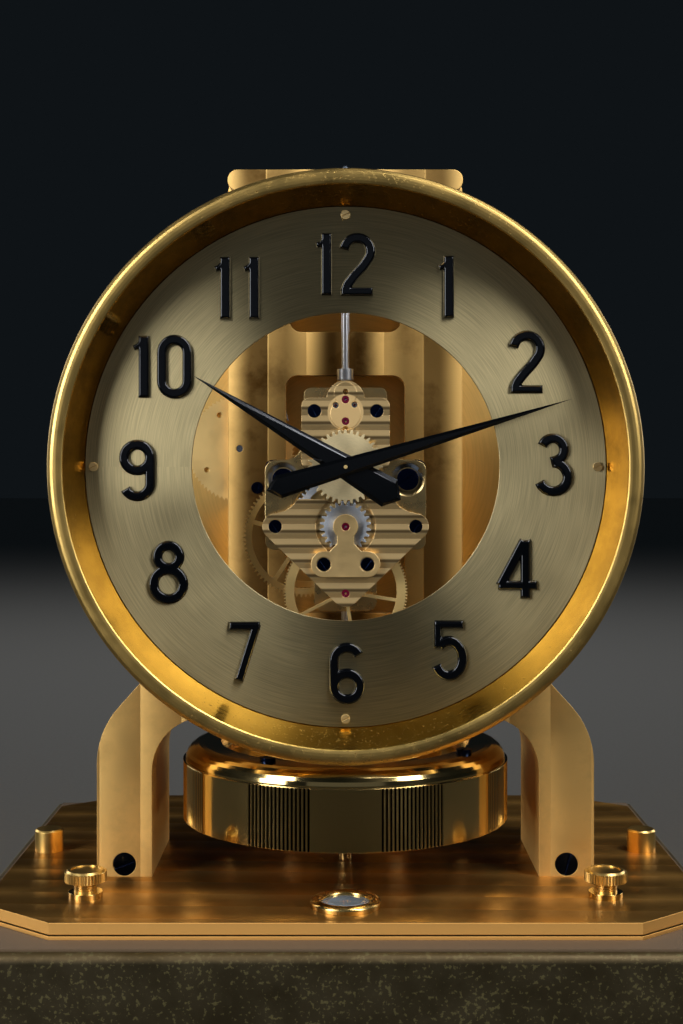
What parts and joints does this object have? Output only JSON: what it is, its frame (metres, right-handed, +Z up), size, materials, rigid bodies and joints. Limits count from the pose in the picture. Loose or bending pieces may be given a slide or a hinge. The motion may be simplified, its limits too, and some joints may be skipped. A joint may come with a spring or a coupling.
{
  "type": "atmospheric clock",
  "caption": "Gold mantel clock wound by air temperature, with round dial, open movement, torsion pendulum and levelling deck on a brass plinth, shown without its glass cover",
  "frame": {"origin": "bottom centre of the bounding box, on the surface the clock stands on", "axes": "+Z up, the dial faces -Y, +X to the right of someone who looks at the dial"},
  "size_m": [0.203, 0.165, 0.23],
  "materials": {
    "plinth_brass": "aged",
    "rubber": "matte",
    "sheet_steel": "brushed",
    "seat_strip": "matte",
    "satin_gold": "satin",
    "polished_gold": "polished",
    "dial_gold": "brushed",
    "steel": "polished",
    "blued_steel": "polished",
    "spring_steel": "satin",
    "black_gloss": "gloss",
    "ruby": "polished",
    "clear_glass": "polished"
  },
  "bodies": {
    "plinth": {"plinth": "plinth_brass", "plinth_feet": "rubber", "bottom_sheet": "sheet_steel", "cover_seat": "seat_strip", "lower_plate": "satin_gold"},
    "pad_left": {"screw_pad_left": "steel"},
    "pad_right": {"screw_pad_right": "steel"},
    "levelling_left": {"levelling_screw_left": "polished_gold"},
    "levelling_right": {"levelling_screw_right": "polished_gold"},
    "minute_hand_body": {"centre_arbor": "polished_gold", "cannon_pinion": "steel", "minute_hand": "black_gloss"},
    "motion_body": {"minute_wheel": "steel"},
    "hour_body": {"hour_wheel": "polished_gold", "hour_hand": "black_gloss"},
    "third_body": {"third_wheel": "polished_gold"},
    "second_body": {"second_wheel": "polished_gold"},
    "idler_body": {"idler_wheel": "polished_gold"},
    "barrel_body": {"barrel": "polished_gold", "mainspring": "spring_steel"},
    "escape_body": {"escape_wheel": "polished_gold"},
    "pallet_body": {"pallet_lever": "steel", "pallet_stones": "ruby"},
    "pendulum": {"pendulum_rim": "polished_gold", "pendulum_spider": "satin_gold", "pendulum_screws": "blued_steel"},
    "pressure": {"pressure_plate": "sheet_steel"},
    "winding_body": {"winding_arbor": "steel", "ratchet_wheel": "polished_gold"},
    "roller_body": {"guide_roller": "polished_gold"},
    "click_body": {"click": "steel"},
    "lock_body": {"lock_post": "polished_gold"},
    "platform": {"upper_plate": "satin_gold", "cover_posts": "polished_gold", "levelling_bushes": "polished_gold", "level_cup": "polished_gold", "level_glass": "clear_glass", "frame": "satin_gold", "leg_screws": "blued_steel", "top_bracket": "satin_gold", "suspension": "steel", "movement_posts": "polished_gold", "pillar_plate": "satin_gold", "main_plate": "polished_gold", "upper_bridge": "satin_gold", "lower_bridge": "satin_gold", "minute_cock": "satin_gold", "movement_screws": "blued_steel", "jewels": "ruby", "train_bridge": "satin_gold", "winding_bridge": "satin_gold", "winding_chain": "steel", "bellows_drum": "polished_gold", "drum_cover": "polished_gold", "bellows_capsule": "polished_gold", "bellows_spring": "spring_steel", "bezel": "polished_gold", "dial": "dial_gold", "numerals": "black_gloss", "dial_screws": "polished_gold"}
  },
  "joints": [
    {"name": "platform_tilt", "type": "hinge", "parent": "plinth", "child": "platform", "pos_m": [0, 0.06, 0.02485], "axis": [-1, 0, 0], "range_deg": [0, 1]},
    {"name": "pad_left_slide", "type": "slide", "parent": "platform", "child": "pad_left", "axis": [0, 0, -1], "range_m": [0, 0.002]},
    {"name": "levelling_left_turn", "type": "hinge", "parent": "pad_left", "child": "levelling_left", "pos_m": [-0.069, -0.0495, 0.03], "axis": [0, 0, 1], "range_deg": [-1147.7, 0]},
    {"name": "pad_right_slide", "type": "slide", "parent": "platform", "child": "pad_right", "axis": [0, 0, -1], "range_m": [0, 0.002]},
    {"name": "levelling_right_turn", "type": "hinge", "parent": "pad_right", "child": "levelling_right", "pos_m": [0.069, -0.0495, 0.03], "axis": [0, 0, 1], "range_deg": [-1147.7, 0]},
    {"name": "minute_turn", "type": "hinge", "parent": "platform", "child": "minute_hand_body", "pos_m": [0, -0.035, 0.1423], "axis": [0, -1, 0], "continuous": true},
    {"name": "motion_turn", "type": "hinge", "parent": "platform", "child": "motion_body", "pos_m": [0, -0.035, 0.1261], "axis": [0, -1, 0], "continuous": true},
    {"name": "hour_turn", "type": "hinge", "parent": "platform", "child": "hour_body", "pos_m": [0, -0.04, 0.1423], "axis": [0, -1, 0], "continuous": true},
    {"name": "third_turn", "type": "hinge", "parent": "platform", "child": "third_body", "pos_m": [0.00219, -0.035, 0.12625], "axis": [0, -1, 0], "continuous": true},
    {"name": "second_turn", "type": "hinge", "parent": "platform", "child": "second_body", "pos_m": [0, -0.035, 0.1079], "axis": [0, -1, 0], "continuous": true},
    {"name": "idler_turn", "type": "hinge", "parent": "platform", "child": "idler_body", "pos_m": [-0.0116, -0.02, 0.1229], "axis": [0, -1, 0], "continuous": true},
    {"name": "barrel_turn", "type": "hinge", "parent": "platform", "child": "barrel_body", "pos_m": [-0.031, 0.001, 0.1476], "axis": [0, -1, 0], "continuous": true},
    {"name": "escape_turn", "type": "hinge", "parent": "platform", "child": "escape_body", "pos_m": [0, -0.035, 0.1547], "axis": [0, -1, 0], "continuous": true},
    {"name": "pallet_rock", "type": "hinge", "parent": "platform", "child": "pallet_body", "pos_m": [0, -0.035, 0.1606], "axis": [0, -1, 0], "range_deg": [-2, 2]},
    {"name": "pendulum_turn", "type": "hinge", "parent": "platform", "child": "pendulum", "pos_m": [0, -0.0105, 0.0523], "axis": [0, 0, 1], "range_deg": [-270, 270], "stiffness_Nm_per_rad": 0.000005},
    {"name": "pressure_slide", "type": "slide", "parent": "platform", "child": "pressure", "axis": [0, 1, 0], "range_m": [0, 0.006], "deforming": ["bellows_capsule", "bellows_spring", "winding_chain"]},
    {"name": "winding_turn", "type": "hinge", "parent": "platform", "child": "winding_body", "pos_m": [-0.031, 0.001, 0.1476], "axis": [0, -1, 0], "range_deg": [0, 69]},
    {"name": "roller_turn", "type": "hinge", "parent": "platform", "child": "roller_body", "pos_m": [-0.026, 0.0082, 0.1693], "axis": [-1, 0, 0], "range_deg": [0, 172]},
    {"name": "click_swing", "type": "hinge", "parent": "platform", "child": "click_body", "pos_m": [-0.0205, -0.002, 0.1658], "axis": [0, -1, 0], "range_deg": [0, 2.5]},
    {"name": "lock_slide", "type": "slide", "parent": "platform", "child": "lock_body", "axis": [0, 0, 1], "range_m": [0, 0.0035]}
  ],
  "couplings": [
    {"joint": "pad_left_slide", "follows": "platform_tilt", "m_per_rad": 0.1095},
    {"joint": "pad_right_slide", "follows": "platform_tilt", "m_per_rad": 0.1095},
    {"joint": "levelling_left_turn", "follows": "platform_tilt", "ratio": -1146.7},
    {"joint": "levelling_right_turn", "follows": "platform_tilt", "ratio": -1146.7},
    {"joint": "motion_turn", "follows": "minute_turn", "ratio": -0.125},
    {"joint": "hour_turn", "follows": "minute_turn", "ratio": 0.083333},
    {"joint": "third_turn", "follows": "minute_turn", "ratio": -0.125},
    {"joint": "second_turn", "follows": "minute_turn", "ratio": 0.0125},
    {"joint": "idler_turn", "follows": "minute_turn", "ratio": -0.0018072},
    {"joint": "barrel_turn", "follows": "minute_turn", "ratio": 0.0021335},
    {"joint": "escape_turn", "follows": "minute_turn", "ratio": -4},
    {"joint": "winding_turn", "follows": "pressure_slide", "rad_per_m": 200},
    {"joint": "roller_turn", "follows": "pressure_slide", "rad_per_m": 500}
  ]
}
